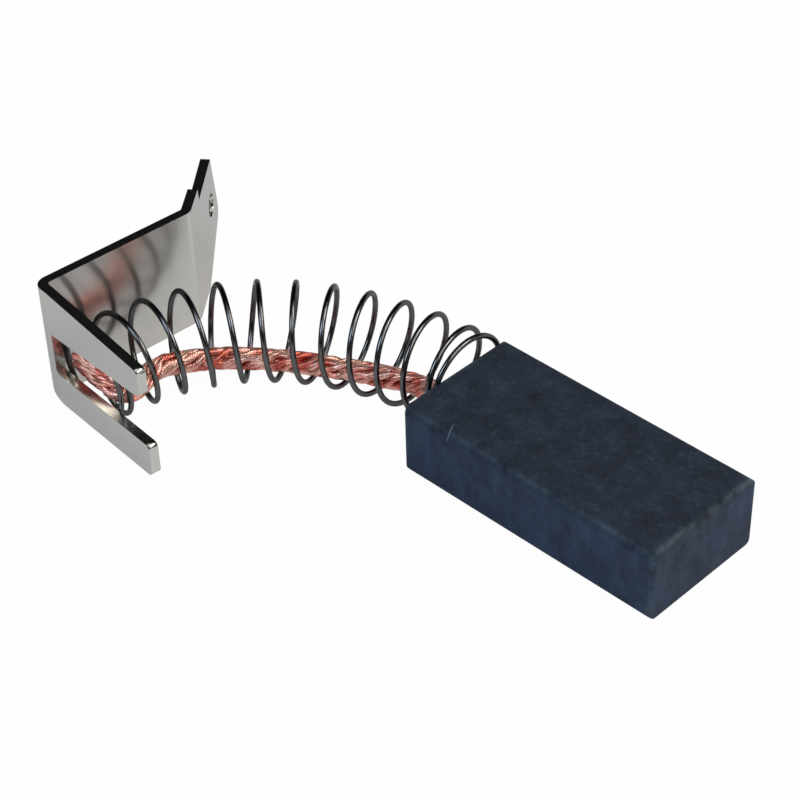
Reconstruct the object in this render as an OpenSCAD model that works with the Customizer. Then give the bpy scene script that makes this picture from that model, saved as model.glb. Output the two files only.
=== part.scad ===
// Carbon brush for an electric motor: a carbon block, its copper pigtail, the pressure spring
// round the pigtail, and the folded terminal bracket that both of them end on.
// It lies on its side as it comes out of its holder, with the spring relaxed in a gentle bend.
// Millimetres, +Z up. The origin is the middle of the block's underside, and +X is the wear face.

/* [Carbon block] */
// Length of the block, from its rear face to its wear face
block_length = 26; // [18:0.5:36]
// Width of the block
block_width = 12.5; // [10:0.1:16]
// Height of the block
block_height = 7.1; // [6:0.1:10]
// Chamfer along the four long edges
long_chamfer = 0.7; // [0.2:0.05:1.2]
// Small chamfer round the two ends
end_chamfer = 0.25; // [0.1:0.05:0.6]

/* [Pigtail socket] */
// Diameter of the blind hole in the rear face
socket_d = 3.4; // [3:0.1:4.4]
// Depth of the blind hole
socket_depth = 6.5; // [4:0.5:12]
// How far the tamped powder stays below the rear face
tamping_recess = 0.3; // [0:0.05:0.8]

/* [Pigtail] */
// Diameter of the stranded copper pigtail
pigtail_d = 2; // [1.6:0.1:2.4]

/* [Pressure spring] */
// Diameter of the spring wire
wire_d = 0.5; // [0.4:0.05:0.7]
// Outer diameter of the coils
coil_od = 9; // [8:0.1:9.6]
// Number of open turns between the two closed end turns
open_turns = 11.3; // [9:0.1:13]
// Angle past the top at which the wire starts, on the bracket
coil_start = 15; // [0:5:355]
// How far the spring's end sits sideways of the middle of the block's rear face
spring_sideways = 1.8; // [1:0.1:1.9]
// How far the spring keeps its direction where it leaves the bracket
bracket_pull = 19; // [15:0.5:21]
// How far the spring keeps its direction where it meets the block
block_pull = 5.5; // [3:0.5:8]

/* [Terminal bracket] */
// Thickness of the plated sheet
sheet_t = 0.9; // [0.6:0.05:1.1]
// Height of the bracket, across the strip it is folded from
bracket_height = 11.7; // [11:0.1:13]
// Inside radius of the two folds
fold_radius = 0.3; // [0.2:0.05:0.4]
// Distance from the block's rear face back to the inner face of the back plate
bracket_behind = 29; // [27:0.1:32]
// Distance from the middle of the block sideways to the inner corner of the fork's fold
bracket_sideways = 18.8; // [17:0.1:20]
// How far the bracket is turned out of line with the block
bracket_turn = 3.5; // [0:0.5:6]
// Length of the back plate between the insides of its two folds
back_length = 14.6; // [13:0.1:15.5]
// Angle between the fork plate and the back plate
fork_angle = 91; // [86:0.5:94]
// Length of the lower prong from the inside of the fold
fork_length = 14.3; // [12:0.1:16]
// How much shorter the upper prong is
upper_prong_short = 0.5; // [0:0.1:2]
// How much the upper prong's top edge drops on the way to its tip
upper_prong_drop = 1; // [0:0.1:1.5]
// Height of the lower prong
lower_prong_h = 3.2; // [2.5:0.1:4]
// Height of the open slot between the prongs
slot_h = 4.8; // [4.2:0.1:5.4]
// How much lower the slot is at its closed end
slot_narrowing = 0.7; // [0:0.1:1]
// Distance from the inside of the fold to the closed end of the slot
slot_start = 1; // [0.5:0.1:1.5]
// Radius cut off the bottom corner below the fork's fold
fold_corner_r = 2.6; // [1:0.1:3]
// Radius on the prongs' tips
tip_r = 0.5; // [0.2:0.1:1]

/* [Terminal tab] */
// Angle that the tab is bent outward from the back plate
tab_angle = 42; // [30:1:45]
// Full-height length of the tab before its shoulder
tab_neck = 3.1; // [2:0.1:3.8]
// Drop of the shoulder from the bracket's top edge
shoulder_drop = 1.2; // [0.8:0.1:2.4]
// Length of the tab from its fold to its point
tab_reach = 10.6; // [10.2:0.1:12.5]
// Height of the tab's point above the bottom edge
tab_point_h = 5; // [4.5:0.1:6.5]
// Diameter of the hole in the tab
tab_hole_d = 2.2; // [1.6:0.1:2.6]
// Distance of the hole from the tab's fold
tab_hole_reach = 7.8; // [7.4:0.1:8.4]
// Height of the hole above the bottom edge
tab_hole_h = 6.9; // [6:0.1:7.5]

/* [Clearances] */
// Room between the spring's end coil and the back plate
spring_gap = 0.1; // [0.1:0.05:0.4]
// Room between the tamped powder and the strands
strand_gap = 0.02; // [0.01:0.01:0.05]
// Room between the spring's end coils and the faces they press on
seat_gap = 0.03; // [0.03:0.01:0.08]

/* [Hidden] */
$fn = 64;
rear_x = -block_length / 2;
socket_z = block_height / 2;
wire_r = wire_d / 2;
coil_r = coil_od / 2;
helix_r = coil_r - wire_r;
// How far a cutting shape reaches past what it cuts
over = 2;

// The bracket in its own plan: the fork's fold has its inner corner at the origin and the back
// plate runs along +Y. First the way the fork plate runs, the way off its inner face, and its bend
fork_dir = [sin(fork_angle), cos(fork_angle)];
fork_in = [-cos(fork_angle), sin(fork_angle)];
fork_bend = fold_radius / tan(fork_angle / 2) * fork_dir + fold_radius * fork_in;
// Then the tab's bend, where the tab's flat inner face starts, and the way it runs
tab_bend = [-sheet_t - fold_radius, back_length];
tab_start = tab_bend + (fold_radius + sheet_t) * [cos(tab_angle), sin(tab_angle)];
tab_dir = [-sin(tab_angle), cos(tab_angle)];
fold_steps = 6;

// Outline of the tab: the foot of its lower flank, its round point, its apex and its shoulder
tab_foot = 4.5;
tab_point_r = 1.5;
apex_drop = 0.7;
shoulder_run = 0.15;
point_steps = 10;

// The spring runs squarely from one seat to the other: the fork's inner face and the block
corner = [rear_x - bracket_behind, -bracket_sideways];
fork_seat = corner + turned((coil_r + spring_gap) / sin(fork_angle) * fork_dir);
fork_way = turned(fork_in);
block_seat = [rear_x, spring_sideways];
closed_turns = 1;
turns = open_turns + 2 * closed_turns;
turn_steps = 24;
wire_sides = 8;
path_steps = 120;

// The pigtail's route, set by hand from the middle of the block's rear face: out of its socket,
// along the bottom of the coils, then round inside the last coil and back to its weld on the fork
pigtail_route = [
    [5, 0, socket_z], [0, 0, socket_z], [-0.5, 0, socket_z], [-2.5, 0.4, 3], [-5.5, 0.8, 2.1],
    [-9, 0, 1.7], [-13, -2, 1.65], [-17, -4.5, 1.7], [-20.6, -8.1, 2.1], [-22.7, -12.2, 2.6],
    [-22.7, -14, 2.7], [-22.1, -15.6, 2.9], [-21.6, -16.9, 3.2], [-22.1, -17.9, 3.5],
    [-23.3, -18.15, 3.9], [-25, -18, 4.3], [-26.9, -17.9, 4.7]
];
route_steps = 3;
pigtail_sides = 8;
strands_in = pigtail_route[0].x;

function unit(v) = v / norm(v);

// A way in the bracket's own plan, as it lies beside the block
function turned(v) =
    [v.x * cos(bracket_turn) + v.y * sin(bracket_turn), v.y * cos(bracket_turn) - v.x * sin(bracket_turn)];

// Points along an arc of a circle
function arc(centre, r, from, to, steps) =
    [for (i = [0:steps]) let (a = from + (to - from) * i / steps) centre + r * [cos(a), sin(a)]];

// One ring of a round section at p, in the plane of the two unit vectors a and b
function ring(p, a, b, r, sides) =
    [for (i = [0:sides - 1]) let (w = 360 * (i + 0.5) / sides) p + r * (cos(w) * a + sin(w) * b)];

// A closed tube through a list of rings
module tube(rings) {
    sides = len(rings[0]);
    last = len(rings) - 1;
    walls = [
        for (i = [0:last - 1], j = [0:sides - 1])
            let (a = i * sides + j, b = i * sides + (j + 1) % sides)
                each [[a, b + sides, b], [a, a + sides, b + sides]]
    ];
    start_cap = [for (j = [0:sides - 1]) j];
    end_cap = [for (j = [sides - 1:-1:0]) last * sides + j];
    polyhedron([for (r = rings) each r], concat(walls, [start_cap, end_cap]));
}

// A rectangle with its four corners cut at 45 degrees, from the origin
module chamfered(w, h, c) {
    polygon([[c, 0], [w - c, 0], [w, c], [w, h - c], [w - c, h], [c, h], [0, h - c], [0, c]]);
}

// Stands a flat shape up on a wall that starts at a point in plan and runs along a direction,
// as thick as the depth given on both sides of the wall's face
module on_wall(start, dir, depth) {
    translate([start.x, start.y, 0])
        rotate([0, 0, atan2(dir.y, dir.x)])
            rotate([90, 0, 0])
                linear_extrude(2 * depth, center = true)
                    children();
}

// Block of pressed carbon, with its edges chamfered and a blind socket in its rear face
module carbon_block() {
    color([0.16, 0.18, 0.23])
        difference() {
            intersection() {
                translate([rear_x, 0, 0])
                    rotate([90, 0, 90])
                        linear_extrude(block_length)
                            translate([-block_width / 2, 0])
                                chamfered(block_width, block_height, long_chamfer);
                translate([rear_x, -block_width / 2 - over, 0])
                    mirror([0, 1, 0])
                        rotate([90, 0, 0])
                            linear_extrude(block_width + 2 * over)
                                chamfered(block_length, block_height, end_chamfer);
                translate([rear_x, -block_width / 2, -over])
                    linear_extrude(block_height + 2 * over)
                        chamfered(block_length, block_width, end_chamfer);
            }
            translate([rear_x - over, 0, socket_z])
                rotate([0, 90, 0])
                    cylinder(d = socket_d, h = socket_depth + over);
        }
}

// Ring of copper powder tamped into the socket round the strands
module contact_tamping() {
    color([0.45, 0.29, 0.22])
        translate([rear_x + tamping_recess, 0, socket_z])
            rotate([0, 90, 0])
                difference() {
                    cylinder(d = socket_d, h = socket_depth - tamping_recess);
                    rotate([0, 0, 180 / pigtail_sides])
                        translate([0, 0, -over])
                            cylinder(
                                d = pigtail_d + 2 * strand_gap,
                                h = over + strands_in - tamping_recess,
                                $fn = pigtail_sides
                            );
                }
}

// Smooth curve through the route: the point a share u of the way along one of its stretches
function route_at(i, u) =
    let (
        p = pigtail_route,
        last = len(p) - 1,
        p1 = p[i],
        p2 = p[i + 1],
        p0 = p[max(i - 1, 0)],
        p3 = p[min(i + 2, last)]
    )
    0.5 * (2 * p1 + (p2 - p0) * u + (2 * p0 - 5 * p1 + 4 * p2 - p3) * u * u
        + (3 * p1 - p0 - 3 * p2 + p3) * u * u * u);

// Stranded copper pigtail, welded to the bracket at its far end
module pigtail() {
    stretches = len(pigtail_route) - 1;
    points = [
        for (i = [0:stretches - 1], k = [0:route_steps - 1]) route_at(i, k / route_steps),
        pigtail_route[stretches]
    ];
    last = len(points) - 1;
    color([0.78, 0.42, 0.3])
        translate([rear_x, 0, 0])
            tube([
                for (i = [0:last])
                    let (
                        along = unit(points[min(i + 1, last)] - points[max(i - 1, 0)]),
                        side = unit(cross([0, 0, 1], along))
                    )
                    ring(points[i], side, cross(along, side), pigtail_d / 2, pigtail_sides)
            ]);
}

// Point on the spring's centre line in plan: a cubic curve that leaves both seats squarely
function centre_at(t) =
    pow(1 - t, 3) * fork_seat
    + 3 * t * pow(1 - t, 2) * (fork_seat + bracket_pull * fork_way)
    + 3 * t * t * (1 - t) * (block_seat - [block_pull, 0])
    + pow(t, 3) * block_seat;

function heading_at(t) = unit(centre_at(min(t + 0.001, 1)) - centre_at(max(t - 0.001, 0)));

// Distance travelled along the centre line against the curve's own parameter
centre_points = [for (i = [0:path_steps]) centre_at(i / path_steps)];
travelled = [
    for (
        i = 0, s = 0;
        i <= path_steps;
        s = s + (i < path_steps ? norm(centre_points[i + 1] - centre_points[i]) : 0), i = i + 1
    )
    s
];
spring_length = travelled[path_steps];
share_at = [for (i = [0:path_steps]) [travelled[i], i / path_steps]];
closed_length = seat_gap + wire_r + closed_turns * wire_d;
pitch = (spring_length - 2 * closed_length) / open_turns;

// How far along the centre line the wire has come after a number of turns
function advance(turn) =
    turn < closed_turns ? seat_gap + wire_r + wire_d * turn
    : turn > turns - closed_turns ? spring_length - seat_gap - wire_r - wire_d * (turns - turn)
    : closed_length + pitch * (turn - closed_turns);

// Right-handed coil, with its angle measured from the top
function wire_at(turn) =
    let (
        t = lookup(advance(turn), share_at),
        c = centre_at(t),
        h = heading_at(t),
        a = coil_start + 360 * turn
    )
    [c.x + helix_r * sin(a) * h.y, c.y - helix_r * sin(a) * h.x, coil_r + helix_r * cos(a)];

// The way straight out from the centre line to the wire
function outward_at(turn) =
    let (c = centre_at(lookup(advance(turn), share_at)))
    unit(wire_at(turn) - [c.x, c.y, coil_r]);

// Compression spring of round wire with closed end turns, bent along its centre line
module pressure_spring() {
    steps = ceil(turns * turn_steps);
    slight = 0.02;
    color([0.3, 0.31, 0.33])
        tube([
            for (i = [0:steps])
                let (
                    turn = turns * i / steps,
                    along = unit(wire_at(min(turn + slight, turns)) - wire_at(max(turn - slight, 0))),
                    off = outward_at(turn),
                    out = unit(off - (off * along) * along)
                )
                ring(wire_at(turn), out, cross(along, out), wire_r, wire_sides)
        ]);
}

// The bracket's strip seen from above: fork plate, fold, back plate, fold and tab
module strip_plan() {
    tab_end = tab_start + (tab_reach + over) * tab_dir;
    tab_out = [cos(tab_angle), sin(tab_angle)];
    polygon([
        fork_length * fork_dir,
        each arc(fork_bend, fold_radius, 360 - fork_angle, 180, fold_steps),
        each arc(tab_bend, fold_radius + sheet_t, 0, tab_angle, fold_steps),
        tab_end,
        tab_end - sheet_t * tab_out,
        each arc(tab_bend, fold_radius, tab_angle, 0, fold_steps),
        each arc(fork_bend, fold_radius + sheet_t, 180, 360 - fork_angle, fold_steps),
        fork_length * fork_dir - sheet_t * fork_in
    ]);
}

// A prong's outline with a rounded tip: its lower and upper edges run from a height at the fold
// to a height at the tip
module prong(length, low_from, low_to, high_from, high_to) {
    x = length - tip_r;
    polygon([
        [0, low_from],
        [slot_start, low_from],
        each arc([x, low_to + tip_r], tip_r, -90, 0, fold_steps),
        each arc([x, high_to - tip_r], tip_r, 0, 90, fold_steps),
        [slot_start, high_from],
        [0, high_from]
    ]);
}

// What is cut away from the fork plate: the slot and the corners of the tips
module fork_waste() {
    upper_z = lower_prong_h + slot_h;
    difference() {
        translate([slot_start, -over])
            square([fork_length + over, bracket_height + 2 * over]);
        prong(fork_length, 0, 0, lower_prong_h, lower_prong_h);
        prong(
            fork_length - upper_prong_short,
            upper_z - slot_narrowing,
            upper_z,
            bracket_height,
            bracket_height - upper_prong_drop
        );
    }
}

// What is cut away below the fork's fold to round its bottom corner
module fold_corner_waste() {
    r = min(fold_corner_r, lower_prong_h - 0.2);
    outer_corner = -sheet_t / tan(fork_angle / 2);
    difference() {
        translate([outer_corner - over, -over])
            square([r + over, r + over]);
        translate([outer_corner + r, r])
            circle(r);
    }
}

// Outline of the leaf-shaped tab, from its fold
module tab_outline() {
    foot = [tab_foot, 0];
    middle = [tab_reach - tab_point_r, tab_point_h];
    apex = [middle.x, bracket_height - apex_drop];
    lower_way = middle - foot;
    upper_way = apex - middle;
    lower_heading = atan2(lower_way.y, lower_way.x) - asin(tab_point_r / norm(lower_way));
    upper_heading = atan2(upper_way.y, upper_way.x) + asin(tab_point_r / norm(upper_way));
    polygon([
        [0, 0],
        foot,
        each arc(middle, tab_point_r, lower_heading - 90, upper_heading - 90, point_steps),
        apex,
        [tab_neck + shoulder_run, bracket_height - shoulder_drop],
        [tab_neck, bracket_height],
        [0, bracket_height]
    ]);
}

// What is cut away round the tab
module tab_waste() {
    difference() {
        translate([0, -over])
            square([tab_reach + 2 * over, bracket_height + 2 * over]);
        tab_outline();
    }
}

// Terminal bracket folded from one strip of plated sheet: a fork plate that the spring and the
// pigtail end on, a back plate, and a tab with a hole bent outward
module terminal_bracket() {
    color([0.72, 0.73, 0.75])
        translate([corner.x, corner.y, 0])
            rotate([0, 0, -bracket_turn])
                difference() {
                    linear_extrude(bracket_height)
                        strip_plan();
                    on_wall([0, 0], fork_dir, over)
                        fork_waste();
                    on_wall([0, 0], fork_dir, sheet_t + fold_radius)
                        fold_corner_waste();
                    on_wall(tab_start, tab_dir, over)
                        tab_waste();
                    on_wall(tab_start, tab_dir, over)
                        translate([tab_hole_reach, tab_hole_h])
                            circle(d = tab_hole_d);
                }
}

carbon_block();
contact_tamping();
pigtail();
pressure_spring();
terminal_bracket();
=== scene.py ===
"""Looks of the carbon brush: a pressed carbon block, its stranded copper pigtail, the pressure
spring round the pigtail, and the plated terminal bracket. Lengths are in metres."""

import bpy
import numpy as np
from mathutils import Matrix, Vector


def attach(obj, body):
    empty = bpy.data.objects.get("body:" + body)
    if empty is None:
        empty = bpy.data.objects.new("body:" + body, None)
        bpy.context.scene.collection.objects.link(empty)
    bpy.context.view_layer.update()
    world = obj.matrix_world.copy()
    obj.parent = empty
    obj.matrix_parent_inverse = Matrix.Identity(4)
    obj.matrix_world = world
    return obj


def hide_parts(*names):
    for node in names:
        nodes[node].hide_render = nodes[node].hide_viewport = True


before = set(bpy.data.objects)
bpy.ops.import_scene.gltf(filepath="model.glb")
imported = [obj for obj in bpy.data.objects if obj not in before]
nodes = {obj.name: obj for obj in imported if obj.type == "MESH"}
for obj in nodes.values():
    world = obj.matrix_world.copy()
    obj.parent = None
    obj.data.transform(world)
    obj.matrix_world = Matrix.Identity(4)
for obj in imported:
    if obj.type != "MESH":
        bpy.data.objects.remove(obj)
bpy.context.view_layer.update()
MM = 0.001

# ---------------------------------------------------------------- camera, studio and lamps
# A long lens looks down on the brush from its wear-face side. The brush lies on a white sheet, and
# the room is white low down all round and dark above. A weak lamp hangs overhead, and three
# stronger ones stand round the brush, about 45 degrees up.
EYE = Vector((85.117, -102.126, 118.242)) * MM
LOOK_RIGHT = Vector((0.71204, 0.70169, -0.02503))
LOOK_DOWN = Vector((0.42675, -0.46081, -0.77816))
BRUSH_MIDDLE = Vector((-0.015, -0.005, 0.004))
camera_data = bpy.data.cameras.new("camera")
camera_data.lens = 99
camera_data.sensor_width = 36
camera_data.clip_start = 0.01
camera = bpy.data.objects.new("camera", camera_data)
turn = Matrix((LOOK_RIGHT, -LOOK_DOWN, LOOK_RIGHT.cross(-LOOK_DOWN))).transposed()
camera.matrix_world = Matrix.Translation(EYE) @ turn.to_4x4()
bpy.context.scene.collection.objects.link(camera)
bpy.context.scene.camera = camera
bpy.context.scene.view_settings.view_transform = "Standard"


def lamp(name, place, size, power, colour):
    """A square soft lamp at a place, turned to face the middle of the brush."""
    data = bpy.data.lights.new(name, "AREA")
    data.size = size
    data.energy = power
    data.color = colour
    lit = bpy.data.objects.new(name, data)
    lit.location = Vector(place)
    lit.rotation_euler = (BRUSH_MIDDLE - lit.location).to_track_quat("-Z", "Y").to_euler()
    bpy.context.scene.collection.objects.link(lit)


lamp("lamp_top", (0.05, 0.0, 0.5), size=0.26, power=0.3, colour=(1, 1, 1))
lamp("lamp_front", (-0.08, -0.38, 0.39), size=0.24, power=1.45, colour=(0.66, 0.83, 1))
lamp("lamp_right", (0.38, 0.05, 0.38), size=0.24, power=0.95, colour=(1, 0.95, 0.87))
lamp("lamp_back", (0.28, 0.28, 0.42), size=0.24, power=1.8, colour=(1, 0.94, 0.86))


def new_material(name):
    """An empty material with its node tree and its output node."""
    material = bpy.data.materials.new(name)
    material.use_nodes = True
    tree = material.node_tree
    tree.nodes.clear()
    return material, tree, tree.nodes.new("ShaderNodeOutputMaterial")


def shader(tree, kind, settings=(), **sockets):
    """Adds a node, sets its own settings and fills its sockets: a number or colour is set on the
    socket itself and another node's output is linked to it. Blanks in a socket's name are written
    _, and a socket that goes by its place is written n0, n1 and so on."""
    made = tree.nodes.new("ShaderNode" + kind)
    for key, value in dict(settings).items():
        setattr(made, key, value)
    for key, value in sockets.items():
        socket = made.inputs[int(key[1:]) if key[1:].isdigit() else key.replace("_", " ")]
        if isinstance(value, bpy.types.NodeSocket):
            tree.links.new(value, socket)
        else:
            socket.default_value = value
    return made


def maths(tree, operation, *values):
    """One step of arithmetic in a material."""
    sockets = {f"n{i}": value for i, value in enumerate(values)}
    return shader(tree, "Math", {"operation": operation}, **sockets).outputs[0]


def graded(tree, value, start, end, low=0.0, high=1.0, kind="LINEAR"):
    """A number that goes from low to high while a value goes from start to end, and no further."""
    sockets = {"Value": value, "From_Min": start, "From_Max": end, "To_Min": low, "To_Max": high}
    return shader(tree, "MapRange", {"interpolation_type": kind}, **sockets).outputs["Result"]


def seen(tree, direct, mirrored):
    """A share for mixing two shaders: direct for the camera's own rays, mirrored for the rays
    that metal mirrors or glass lets through, and none for the rays that only carry light."""
    rays = shader(tree, "LightPath").outputs
    by_metal = maths(tree, "MAXIMUM", rays["Is Glossy Ray"], rays["Is Transmission Ray"])
    by_metal = maths(tree, "MULTIPLY", by_metal, mirrored)
    return maths(tree, "MAXIMUM", maths(tree, "MULTIPLY", rays["Is Camera Ray"], direct), by_metal)


# The backdrop is white up to WHITE_UPTO and dark from DARK_FROM, both as the sine of the angle
# above level; light from the room itself is only ROOM_FILL
WHITE_UPTO = 0.08
DARK_FROM = 0.22
DARK_PART = 0.01
ROOM_FILL = 0.003
world = bpy.data.worlds.new("room")
bpy.context.scene.world = world
world.use_nodes = True
room = world.node_tree
room.nodes.clear()
way = shader(room, "SeparateXYZ", Vector=shader(room, "TexCoord").outputs["Generated"])
sweep = graded(room, way.outputs["Z"], DARK_FROM, WHITE_UPTO, low=DARK_PART, kind="SMOOTHSTEP")
fill = shader(room, "Background", Color=(1, 1, 1, 1), Strength=ROOM_FILL).outputs["Background"]
white = shader(room, "Background", Color=(1, 1, 1, 1), Strength=sweep).outputs["Background"]
backdrop = shader(room, "MixShader", n0=seen(room, direct=1.0, mirrored=1.0), n1=fill, n2=white)
room_out = room.nodes.new("ShaderNodeOutputWorld")
room.links.new(backdrop.outputs["Shader"], room_out.inputs["Surface"])

# The sheet shows as white with a little of the paper's own shading, which keeps the shadow
FLOOR_HALF = 1.5
SHEET_GLOW = 0.97
SHEET_MIRRORED = 0.5
floor_corners = [(FLOOR_HALF * x, FLOOR_HALF * y, 0) for x, y in ((-1, -1), (1, -1), (1, 1), (-1, 1))]
floor_mesh = bpy.data.meshes.new("floor")
floor_mesh.from_pydata(floor_corners, [], [(0, 1, 2, 3)])
floor = bpy.data.objects.new("floor", floor_mesh)
bpy.context.scene.collection.objects.link(floor)
floor_material, tree, out = new_material("white_sheet")
paper = shader(tree, "BsdfDiffuse", Color=(0.9, 0.9, 0.9, 1)).outputs["BSDF"]
glow = shader(tree, "Emission", Color=(1, 1, 1, 1), Strength=1.0).outputs["Emission"]
sheet = shader(tree, "MixShader", n0=seen(tree, SHEET_GLOW, SHEET_MIRRORED), n1=paper, n2=glow)
tree.links.new(sheet.outputs["Shader"], out.inputs["Surface"])
floor_mesh.materials.append(floor_material)


# ---------------------------------------------------------------- pigtail
# Bare copper rope, 2 mm across, of seven strands laid to the left round a thin core, each of fine
# wires. It leaves the tamping, lies inside the spring, and its end is pressed flat and welded on
# the inside of the fork.
REAR_X = -0.013
PIGTAIL_D = 0.002
PIGTAIL_STRANDS = 7
PIGTAIL_LAY = 0.0105
ROUTE = np.array([
    (5, 0, 3.55), (0, 0, 3.55), (-0.5, 0, 3.55), (-2.5, 0.4, 3), (-5.5, 0.8, 2.1),
    (-9, 0, 1.7), (-13, -2, 1.65), (-17, -4.5, 1.7), (-20.6, -8.1, 2.1), (-22.7, -12.2, 2.6),
    (-22.7, -14, 2.7), (-22.1, -15.6, 2.9), (-21.6, -16.9, 3.2), (-22.1, -17.9, 3.5),
    (-23.3, -18.15, 3.9), (-25, -18, 4.3), (-26.9, -17.9, 4.7),
]) * MM + (REAR_X, 0, 0)
# The strands lie a little loose: each one sways to and fro in two waves, given as how far it
# turns in radians, the wave's length, and the shift from one strand to the next
SWAYS = ((0.22, 0.0047, 2.4), (0.16, 0.0021, 4.1))
# Strands and core are made thicker than their room by these factors, so that they press together
STRAND_SWELL = 1.06
CORE_SWELL = 1.1


def unit(v):
    """Each row of v divided by its own length."""
    return v / np.linalg.norm(v, axis=-1, keepdims=True)


def smooth_line(route, steps):
    """Smooth curve through every point of a route: on each stretch the cubic
    (2 b + (c - a) u + (2 a - 5 b + 4 c - d) u^2 + (3 b - a - 3 c + d) u^3) / 2
    of the points a, b, c, d round it, with u from 0 to 1."""
    p = np.vstack([route[:1], route, route[-1:]])
    a, b, c, d = (p[i : len(p) - 3 + i, None] for i in range(4))
    u = (np.arange(steps) / steps)[None, :, None]
    curve = (2 * b + (c - a) * u + (2 * a - 5 * b + 4 * c - d) * u**2 + (3 * b - a - 3 * c + d) * u**3) / 2
    return np.vstack([curve.reshape(-1, 3), route[-1:]])


def lengths_along(line):
    """Distance travelled along a line at each of its points."""
    return np.concatenate([[0], np.cumsum(np.linalg.norm(np.diff(line, axis=0), axis=1))])


def even_line(line, step):
    """The same line with its points a step apart."""
    s = lengths_along(line)
    at = np.linspace(0, s[-1], int(np.ceil(s[-1] / step)) + 1)
    return np.stack([np.interp(at, s, line[:, i]) for i in range(3)], axis=1)


def tube_mesh(line, outward, radius, sides):
    """A tube with closed ends carried along a line: ring i is
    line_i + radius (cos w out_i + sin w (along_i x out_i)), with w round the circle and out_i
    the outward way squared to the line. Its UV map holds w as a share of a turn, and the
    distance along the line in metres."""
    along = unit(np.gradient(line, axis=0))
    out = unit(outward - (outward * along).sum(1, keepdims=True) * along)
    across = np.cross(along, out)
    w = 2 * np.pi * np.arange(sides)[:, None] / sides
    rings = line[:, None] + radius * (np.cos(w) * out[:, None] + np.sin(w) * across[:, None])
    n = len(line)
    i, j = np.meshgrid(np.arange(n - 1), np.arange(sides), indexing="ij")
    k = (j + 1) % sides
    corners = [i * sides + j, i * sides + k, (i + 1) * sides + k, (i + 1) * sides + j]
    s = lengths_along(line)
    u = np.stack([j, j + 1, j + 1, j], axis=-1).reshape(-1) / sides
    v = s[np.stack([i, i, i + 1, i + 1], axis=-1).reshape(-1)]
    return {
        "points": rings.reshape(-1, 3),
        "walls": np.stack(corners, axis=-1).reshape(-1, 4),
        "ends": [list(range(sides))[::-1], list(range((n - 1) * sides, n * sides))],
        "uv": np.stack([u, v], axis=-1),
    }


def add_piece(name, tubes):
    """One mesh object of one or more tubes, smooth along its walls and flat at its ends."""
    points, walls, ends, uv, start = [], [], [], [], 0
    for tube in tubes:
        points.append(tube["points"])
        walls += (tube["walls"] + start).tolist()
        ends += [[v + start for v in end] for end in tube["ends"]]
        uv.append(tube["uv"])
        start += len(tube["points"])
    mesh = bpy.data.meshes.new(name)
    mesh.from_pydata(np.vstack(points).tolist(), [], walls + ends)
    on_walls = np.vstack(uv)
    on_ends = np.zeros((len(mesh.loops) - len(on_walls), 2))
    layer = mesh.uv_layers.new(name="lay")
    layer.data.foreach_set("uv", np.vstack([on_walls, on_ends]).ravel())
    mesh.polygons.foreach_set("use_smooth", np.arange(len(walls + ends)) < len(walls))
    piece = bpy.data.objects.new(name, mesh)
    bpy.context.scene.collection.objects.link(piece)
    return piece


# The bracket lies beside the block, turned a little in plan. CORNER is the inner corner that its
# fork shares with its back plate, and the pigtail's end is pressed onto the fork's inner face
BRACKET_TURN = np.radians(3.5)
FORK_ANGLE = np.radians(91)
CORNER = np.array([REAR_X - 0.029, -0.0188])
WELD_LENGTH = 0.0022
WELD_EASE = 0.0014
WELD_SQUEEZE = 0.42
WELD_SPREAD = 0.15


def turned(x, y):
    """A way in the bracket's own plan, as it lies beside the block."""
    c, s = np.cos(BRACKET_TURN), np.sin(BRACKET_TURN)
    return np.array([x * c + y * s, y * c - x * s])


fork_dir = turned(np.sin(FORK_ANGLE), np.cos(FORK_ANGLE))
fork_in = turned(-np.cos(FORK_ANGLE), np.sin(FORK_ANGLE))
pigtail_line = even_line(smooth_line(ROUTE, steps=24), step=0.00012)
travelled = lengths_along(pigtail_line)


def pressed(tube):
    """A tube along the pigtail with its end flattened on the fork: a height h over the fork's
    inner face becomes h (1 - WELD_SQUEEZE q) and the rise z over the line z (1 + WELD_SPREAD q),
    where q goes from 0 to 1 as u u (3 - 2 u) just before the weld."""
    u = np.clip((travelled - travelled[-1] + WELD_LENGTH + WELD_EASE) / WELD_EASE, 0, 1)
    sides = len(tube["points"]) // len(travelled)
    q = np.repeat(u * u * (3 - 2 * u), sides)
    points = tube["points"]
    rise = points[:, 2] - np.repeat(pigtail_line[:, 2], sides)
    points[:, :2] -= (WELD_SQUEEZE * q * ((points[:, :2] - CORNER) @ fork_in))[:, None] * fork_in
    points[:, 2] += WELD_SPREAD * q * rise
    return tube


along = unit(np.gradient(pigtail_line, axis=0))
side = unit(np.cross((0, 0, 1), along))
up = np.cross(along, side)
sine = np.sin(np.pi / PIGTAIL_STRANDS)
STRAND_R = PIGTAIL_D / 2 * sine / (1 + sine)
CORE_R = PIGTAIL_D / 2 - 2 * STRAND_R
strands = []
for k in range(PIGTAIL_STRANDS):
    slack = sum(far * np.sin(2 * np.pi * travelled / wave + shift * k) for far, wave, shift in SWAYS)
    angle = (2 * np.pi * (k / PIGTAIL_STRANDS - travelled / PIGTAIL_LAY) + slack)[:, None]
    off = np.cos(angle) * side + np.sin(angle) * up
    middle = pigtail_line + (PIGTAIL_D / 2 - STRAND_R) * off
    strands.append(tube_mesh(middle, off, STRAND_R * STRAND_SWELL, sides=14))
strands.append(tube_mesh(pigtail_line, side, CORE_R * CORE_SWELL, sides=10))
pigtail = add_piece("pigtail_rope", [pressed(strand) for strand in strands])


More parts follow.
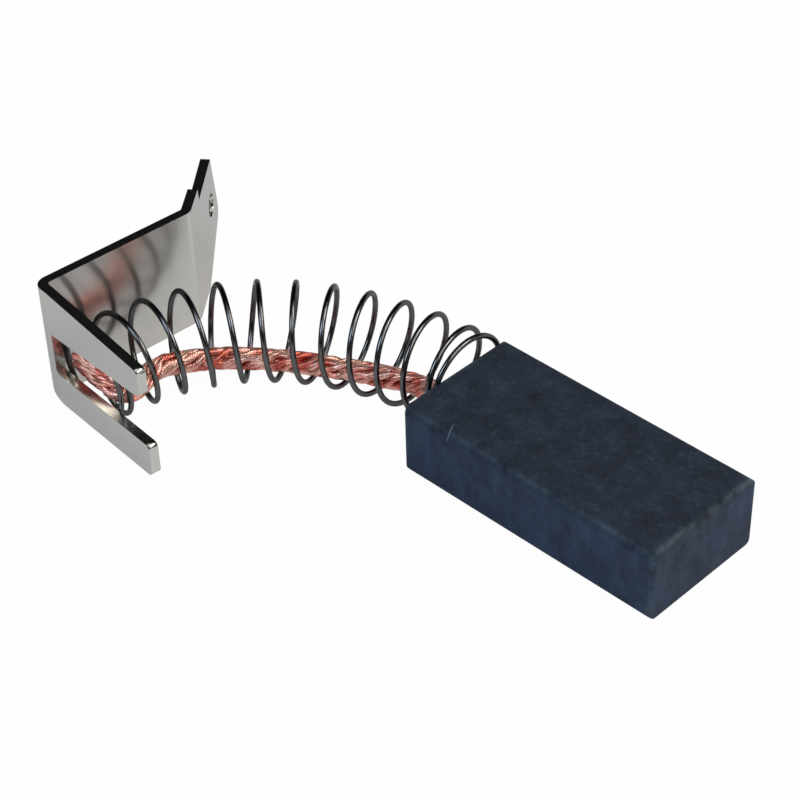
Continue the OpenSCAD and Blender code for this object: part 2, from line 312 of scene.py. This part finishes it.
def two_tone(tree, value, dark_at, dark, light_at, light):
    """A colour that goes from dark to light while a value goes from dark_at to light_at."""
    ramp = shader(tree, "ValToRGB", Fac=value)
    first, last = ramp.color_ramp.elements
    first.position, first.color = dark_at, (*dark, 1)
    last.position, last.color = light_at, (*light, 1)
    return ramp.outputs["Color"]


def laid_over(tree, share, under, over, kind="MIX"):
    """One colour laid over another by a share."""
    sockets = {"Fac": share, "Color1": under, "Color2": over}
    return shader(tree, "MixRGB", {"blend_type": kind}, **sockets).outputs["Color"]


# The fine wires show as grooves that wind round each strand, given by a bump and by shade painted into the
# colour along the grooves, and the copper is dull in patches
WIRES_A_STRAND = 12
WIRE_TWIST = 0.0042
PAINTED_GROOVE_SHADE = 0.45
DULL_COPPER = (0.68, 0.14, 0.1)
BRIGHT_COPPER = (1.0, 0.57, 0.47)
copper, tree, out = new_material("bare_copper")
lay_map = shader(tree, "UVMap", {"uv_map": "lay"})
lay = shader(tree, "SeparateXYZ", Vector=lay_map.outputs["UV"]).outputs
wires_round = maths(tree, "MULTIPLY", lay["X"], WIRES_A_STRAND)
wire_phase = maths(tree, "MULTIPLY_ADD", lay["Y"], WIRES_A_STRAND / WIRE_TWIST, wires_round)
wire_height = maths(tree, "ABSOLUTE", maths(tree, "SINE", maths(tree, "MULTIPLY", wire_phase, np.pi)))
place = shader(tree, "TexCoord").outputs["Object"]
patches = shader(tree, "TexNoise", Vector=place, Scale=650.0, Detail=3.0).outputs["Fac"]
tone = two_tone(tree, patches, 0.4, DULL_COPPER, 0.6, BRIGHT_COPPER)
# Painted shade: the copper's colour is made darker in the grooves between the fine wires
copper_with_painted_groove_shade = laid_over(tree, PAINTED_GROOVE_SHADE, tone, wire_height, kind="MULTIPLY")
relief = shader(tree, "Bump", Strength=0.5, Distance=0.00004, Height=wire_height).outputs["Normal"]
bsdf = shader(tree, "BsdfPrincipled", Base_Color=copper_with_painted_groove_shade, Metallic=0.8, Roughness=0.21, Normal=relief)
tree.links.new(bsdf.outputs["BSDF"], out.inputs["Surface"])
pigtail.data.materials.append(copper)
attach(pigtail, "root")
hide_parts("pigtail")


# ---------------------------------------------------------------- pressure spring
# Round spring wire, 0.5 mm, wound right-handed to 9 mm across with closed end turns. It is bent
# along a smooth curve from the inside of the fork to the block's rear face.
WIRE_R = 0.00025
COIL_R = 0.0045
HELIX_R = COIL_R - WIRE_R
OPEN_TURNS = 11.3
TURNS = OPEN_TURNS + 2
COIL_START = np.radians(15)
SEAT_GAP = 0.00003
WALL_GAP = 0.0001
# How far the curve heads straight on from the fork and from the block before it bends
FORK_REACH = 0.019
BLOCK_REACH = 0.0055
fork_seat = CORNER + (COIL_R + WALL_GAP) / np.sin(FORK_ANGLE) * fork_dir
block_seat = np.array([REAR_X, 0.0018])
controls = np.array([fork_seat, fork_seat + FORK_REACH * fork_in, block_seat - (BLOCK_REACH, 0), block_seat])


def spring_centre(t):
    """Centre line in plan: the cubic curve of the four control points."""
    t = t[:, None]
    return (
        (1 - t) ** 3 * controls[0]
        + 3 * t * (1 - t) ** 2 * controls[1]
        + 3 * t * t * (1 - t) * controls[2]
        + t**3 * controls[3]
    )


POINTS_A_TURN = 60
share = np.linspace(0, 1, 2001)
spring_travel = lengths_along(spring_centre(share))
SPRING_LENGTH = spring_travel[-1]
end_turn = SEAT_GAP + WIRE_R
closed_turn = end_turn + 2 * WIRE_R
turns = np.linspace(0, TURNS, int(TURNS * POINTS_A_TURN) + 1)
advance = np.interp(
    turns,
    [0, 1, TURNS - 1, TURNS],
    [end_turn, closed_turn, SPRING_LENGTH - closed_turn, SPRING_LENGTH - end_turn],
)
t = np.interp(advance, spring_travel, share)
middle = spring_centre(t)
heading = unit(spring_centre(np.minimum(t + 1e-4, 1)) - spring_centre(np.maximum(t - 1e-4, 0)))
angle = COIL_START + 2 * np.pi * turns
off = np.stack([np.sin(angle) * heading[:, 1], -np.sin(angle) * heading[:, 0], np.cos(angle)], axis=1)
centre = np.column_stack([middle, np.full(len(t), COIL_R)])
spring = add_piece("spring_wire", [tube_mesh(centre + HELIX_R * off, off, WIRE_R, sides=16)])

WIRE_GREY = (0.105, 0.104, 0.108, 1)
WIRE_TINT = (0.5, 0.5, 0.5, 1)
steel, tree, out = new_material("spring_steel")
bsdf = shader(
    tree,
    "BsdfPrincipled",
    Base_Color=WIRE_GREY,
    Specular_Tint=WIRE_TINT,
    Metallic=1,
    Roughness=0.22,
)
tree.links.new(bsdf.outputs["BSDF"], out.inputs["Surface"])
spring.data.materials.append(steel)
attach(spring, "root")
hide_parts("pressure_spring")


# ---------------------------------------------------------------- carbon block and tamping
# One block of pressed carbon with its edges chamfered, blue-black and matt, and rubbed paler at
# its edges. The tamping in its rear face is copper powder rammed in round the pigtail.
SAME_POINT = 1e-7
FLAT_WITHIN = np.radians(0.5)
EDGE_FROM = np.radians(30)


def softened(name, node, width, segments):
    """A copy of a CAD solid, merged to one closed skin with whole flat faces and its edges
    rounded, each flat face shaded flat. The rounding is a width across at most, and less on a
    skin whose shortest edges leave it no room."""
    mesh = nodes[node].data.copy()
    mesh.materials.clear()
    piece = bpy.data.objects.new(name, mesh)
    bpy.context.scene.collection.objects.link(piece)
    merged = piece.modifiers.new("merged", "WELD")
    merged.merge_threshold = SAME_POINT
    flat = piece.modifiers.new("flat", "DECIMATE")
    flat.decimate_type = "DISSOLVE"
    flat.angle_limit = FLAT_WITHIN
    rounded = piece.modifiers.new("rounded", "BEVEL")
    rounded.width = width
    rounded.segments = segments
    rounded.limit_method = "ANGLE"
    rounded.angle_limit = EDGE_FROM
    closed = piece.modifiers.new("closed", "WELD")
    closed.merge_threshold = SAME_POINT
    flush = piece.modifiers.new("flush", "WEIGHTED_NORMAL")
    flush.weight = 100
    flush.keep_sharp = True
    mesh.polygons.foreach_set("use_smooth", np.ones(len(mesh.polygons), bool))
    return piece


block = softened("block_body", "carbon_block", width=0.0003, segments=5)
BLOCK_HALF = (0.013, 0.00625, 0.00355)
DARK_CARBON = (0.0088, 0.0122, 0.0205)
PALE_CARBON = (0.026, 0.035, 0.054)
carbon, tree, out = new_material("carbon")
place = shader(tree, "TexCoord").outputs["Object"]
xyz = shader(tree, "SeparateXYZ", Vector=place).outputs
height = maths(tree, "SUBTRACT", xyz["Z"], BLOCK_HALF[2])
to_x, to_y, to_z = (
    maths(tree, "SUBTRACT", half, maths(tree, "ABSOLUTE", way))
    for half, way in zip(BLOCK_HALF, (xyz["X"], xyz["Y"], height))
)
patches = shader(tree, "TexNoise", Vector=place, Scale=420.0, Detail=6.0, Roughness=0.7).outputs["Fac"]
specks = shader(tree, "TexNoise", Vector=place, Scale=2600.0, Detail=2.0).outputs["Fac"]
tone = two_tone(tree, patches, 0.3, DARK_CARBON, 0.7, PALE_CARBON)

# The sides are ground and lightly streaked, and painted blue light makes them a little bluer than the top
# where patches are pale
STREAK_STRETCH = (800.0, 800.0, 260.0)
STREAK_BLUE = (0.06, 0.09, 0.14, 1)
SPECK_GREY = (0.075, 0.105, 0.125, 1)
PAINTED_SIDE_LIGHT_BLUE = (0.03, 0.05, 0.105, 1)
below_top = graded(tree, to_z, 0.0002, 0.001)
stretched = shader(tree, "Mapping", Vector=place, Scale=STREAK_STRETCH).outputs["Vector"]
streaks = shader(tree, "TexNoise", Vector=stretched, Scale=1.0, Detail=4.0).outputs["Fac"]
streaks_here = maths(tree, "MULTIPLY", graded(tree, streaks, 0.48, 0.72, high=0.45), below_top)
streaked = laid_over(tree, streaks_here, tone, STREAK_BLUE)
speckled = laid_over(tree, graded(tree, specks, 0.55, 0.8, high=0.24), streaked, SPECK_GREY)
# Painted light: a blue tint of light is laid into the colour of the sides below the top
painted_side_light_share = maths(tree, "MULTIPLY", below_top, maths(tree, "MULTIPLY_ADD", patches, 1.3, -0.24))
sides = laid_over(tree, painted_side_light_share, speckled, PAINTED_SIDE_LIGHT_BLUE)

# Edges are rubbed in patches. The middle one of the three distances is how far a place on the
# skin is from its nearest edge
RUBBED_WIDTH = 0.0007
RUBBED_SHARE = 0.95
nearer = maths(tree, "MINIMUM", to_x, to_y)
farther = maths(tree, "MAXIMUM", to_x, to_y)
to_edge = maths(tree, "MAXIMUM", nearer, maths(tree, "MINIMUM", farther, to_z))
near_edge = graded(tree, to_edge, RUBBED_WIDTH, 0.0, kind="SMOOTHSTEP")
in_patches = maths(tree, "SMOOTH_MAX", maths(tree, "MULTIPLY_ADD", patches, 3.2, -1.3), 0.0, 0.1)
rubbed = maths(tree, "MULTIPLY", maths(tree, "MULTIPLY", near_edge, in_patches), RUBBED_SHARE)

# One light scratch leans across the long upper edge on the -y side
SCRATCH_X = -0.0096
SCRATCH_LEAN = 0.25
SCRATCH_HALF_WIDTH = 0.00003
SCRATCH_FADE = 0.00009
SCRATCH_INNER_Y = -0.0050
SCRATCH_FULL_Y = -0.0054
SCRATCH_FOOT_Z = 0.0062
beside = maths(tree, "SUBTRACT", xyz["X"], SCRATCH_X)
beside = maths(tree, "ABSOLUTE", maths(tree, "MULTIPLY_ADD", xyz["Y"], SCRATCH_LEAN, beside))
wide = graded(tree, beside, SCRATCH_FADE, SCRATCH_HALF_WIDTH)
long = graded(tree, xyz["Y"], SCRATCH_INNER_Y, SCRATCH_FULL_Y)
high = maths(tree, "GREATER_THAN", xyz["Z"], SCRATCH_FOOT_Z)
scratch = maths(tree, "MULTIPLY", maths(tree, "MULTIPLY", wide, long), high)

WORN_GREY = (0.085, 0.125, 0.15, 1)
worn = laid_over(tree, maths(tree, "MAXIMUM", rubbed, scratch), sides, WORN_GREY)
uneven = maths(tree, "ADD", specks, patches)
grain = shader(tree, "Bump", Strength=0.35, Distance=0.00006, Height=uneven).outputs["Normal"]
bsdf = shader(tree, "BsdfPrincipled", Base_Color=worn, Roughness=0.75, Specular_IOR_Level=0.18, Normal=grain)
tree.links.new(bsdf.outputs["BSDF"], out.inputs["Surface"])
block.data.materials.append(carbon)
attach(block, "root")
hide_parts("carbon_block")

POWDER_BROWN = (0.25, 0.13, 0.09, 1)
powder, tree, out = new_material("tamped_copper")
bsdf = shader(tree, "BsdfPrincipled", Base_Color=POWDER_BROWN, Metallic=0.6, Roughness=0.7)
tree.links.new(bsdf.outputs["BSDF"], out.inputs["Surface"])
nodes["contact_tamping"].data.materials.clear()
nodes["contact_tamping"].data.materials.append(powder)


# ---------------------------------------------------------------- terminal bracket
# One strip of sheet metal, 0.9 mm thick, folded twice and punched out as a fork and a tab. It is
# plated with nickel, and its faces are very slightly wavy from the rolling.
NICKEL = (0.51, 0.50, 0.475, 1)
NICKEL_TINT = (0.72, 0.72, 0.72, 1)
bracket = softened("bracket_sheet", "terminal_bracket", width=0.00008, segments=3)
nickel, tree, out = new_material("nickel_plate")
place = shader(tree, "TexCoord").outputs["Object"]
waves = shader(tree, "TexNoise", Vector=place, Scale=260.0, Detail=2.0).outputs["Fac"]
rolled = shader(tree, "Bump", Strength=0.25, Distance=0.00003, Height=waves).outputs["Normal"]
bsdf = shader(
    tree,
    "BsdfPrincipled",
    Base_Color=NICKEL,
    Specular_Tint=NICKEL_TINT,
    Metallic=1,
    Roughness=0.2,
    Normal=rolled,
)
tree.links.new(bsdf.outputs["BSDF"], out.inputs["Surface"])
bracket.data.materials.append(nickel)
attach(bracket, "root")
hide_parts("terminal_bracket")
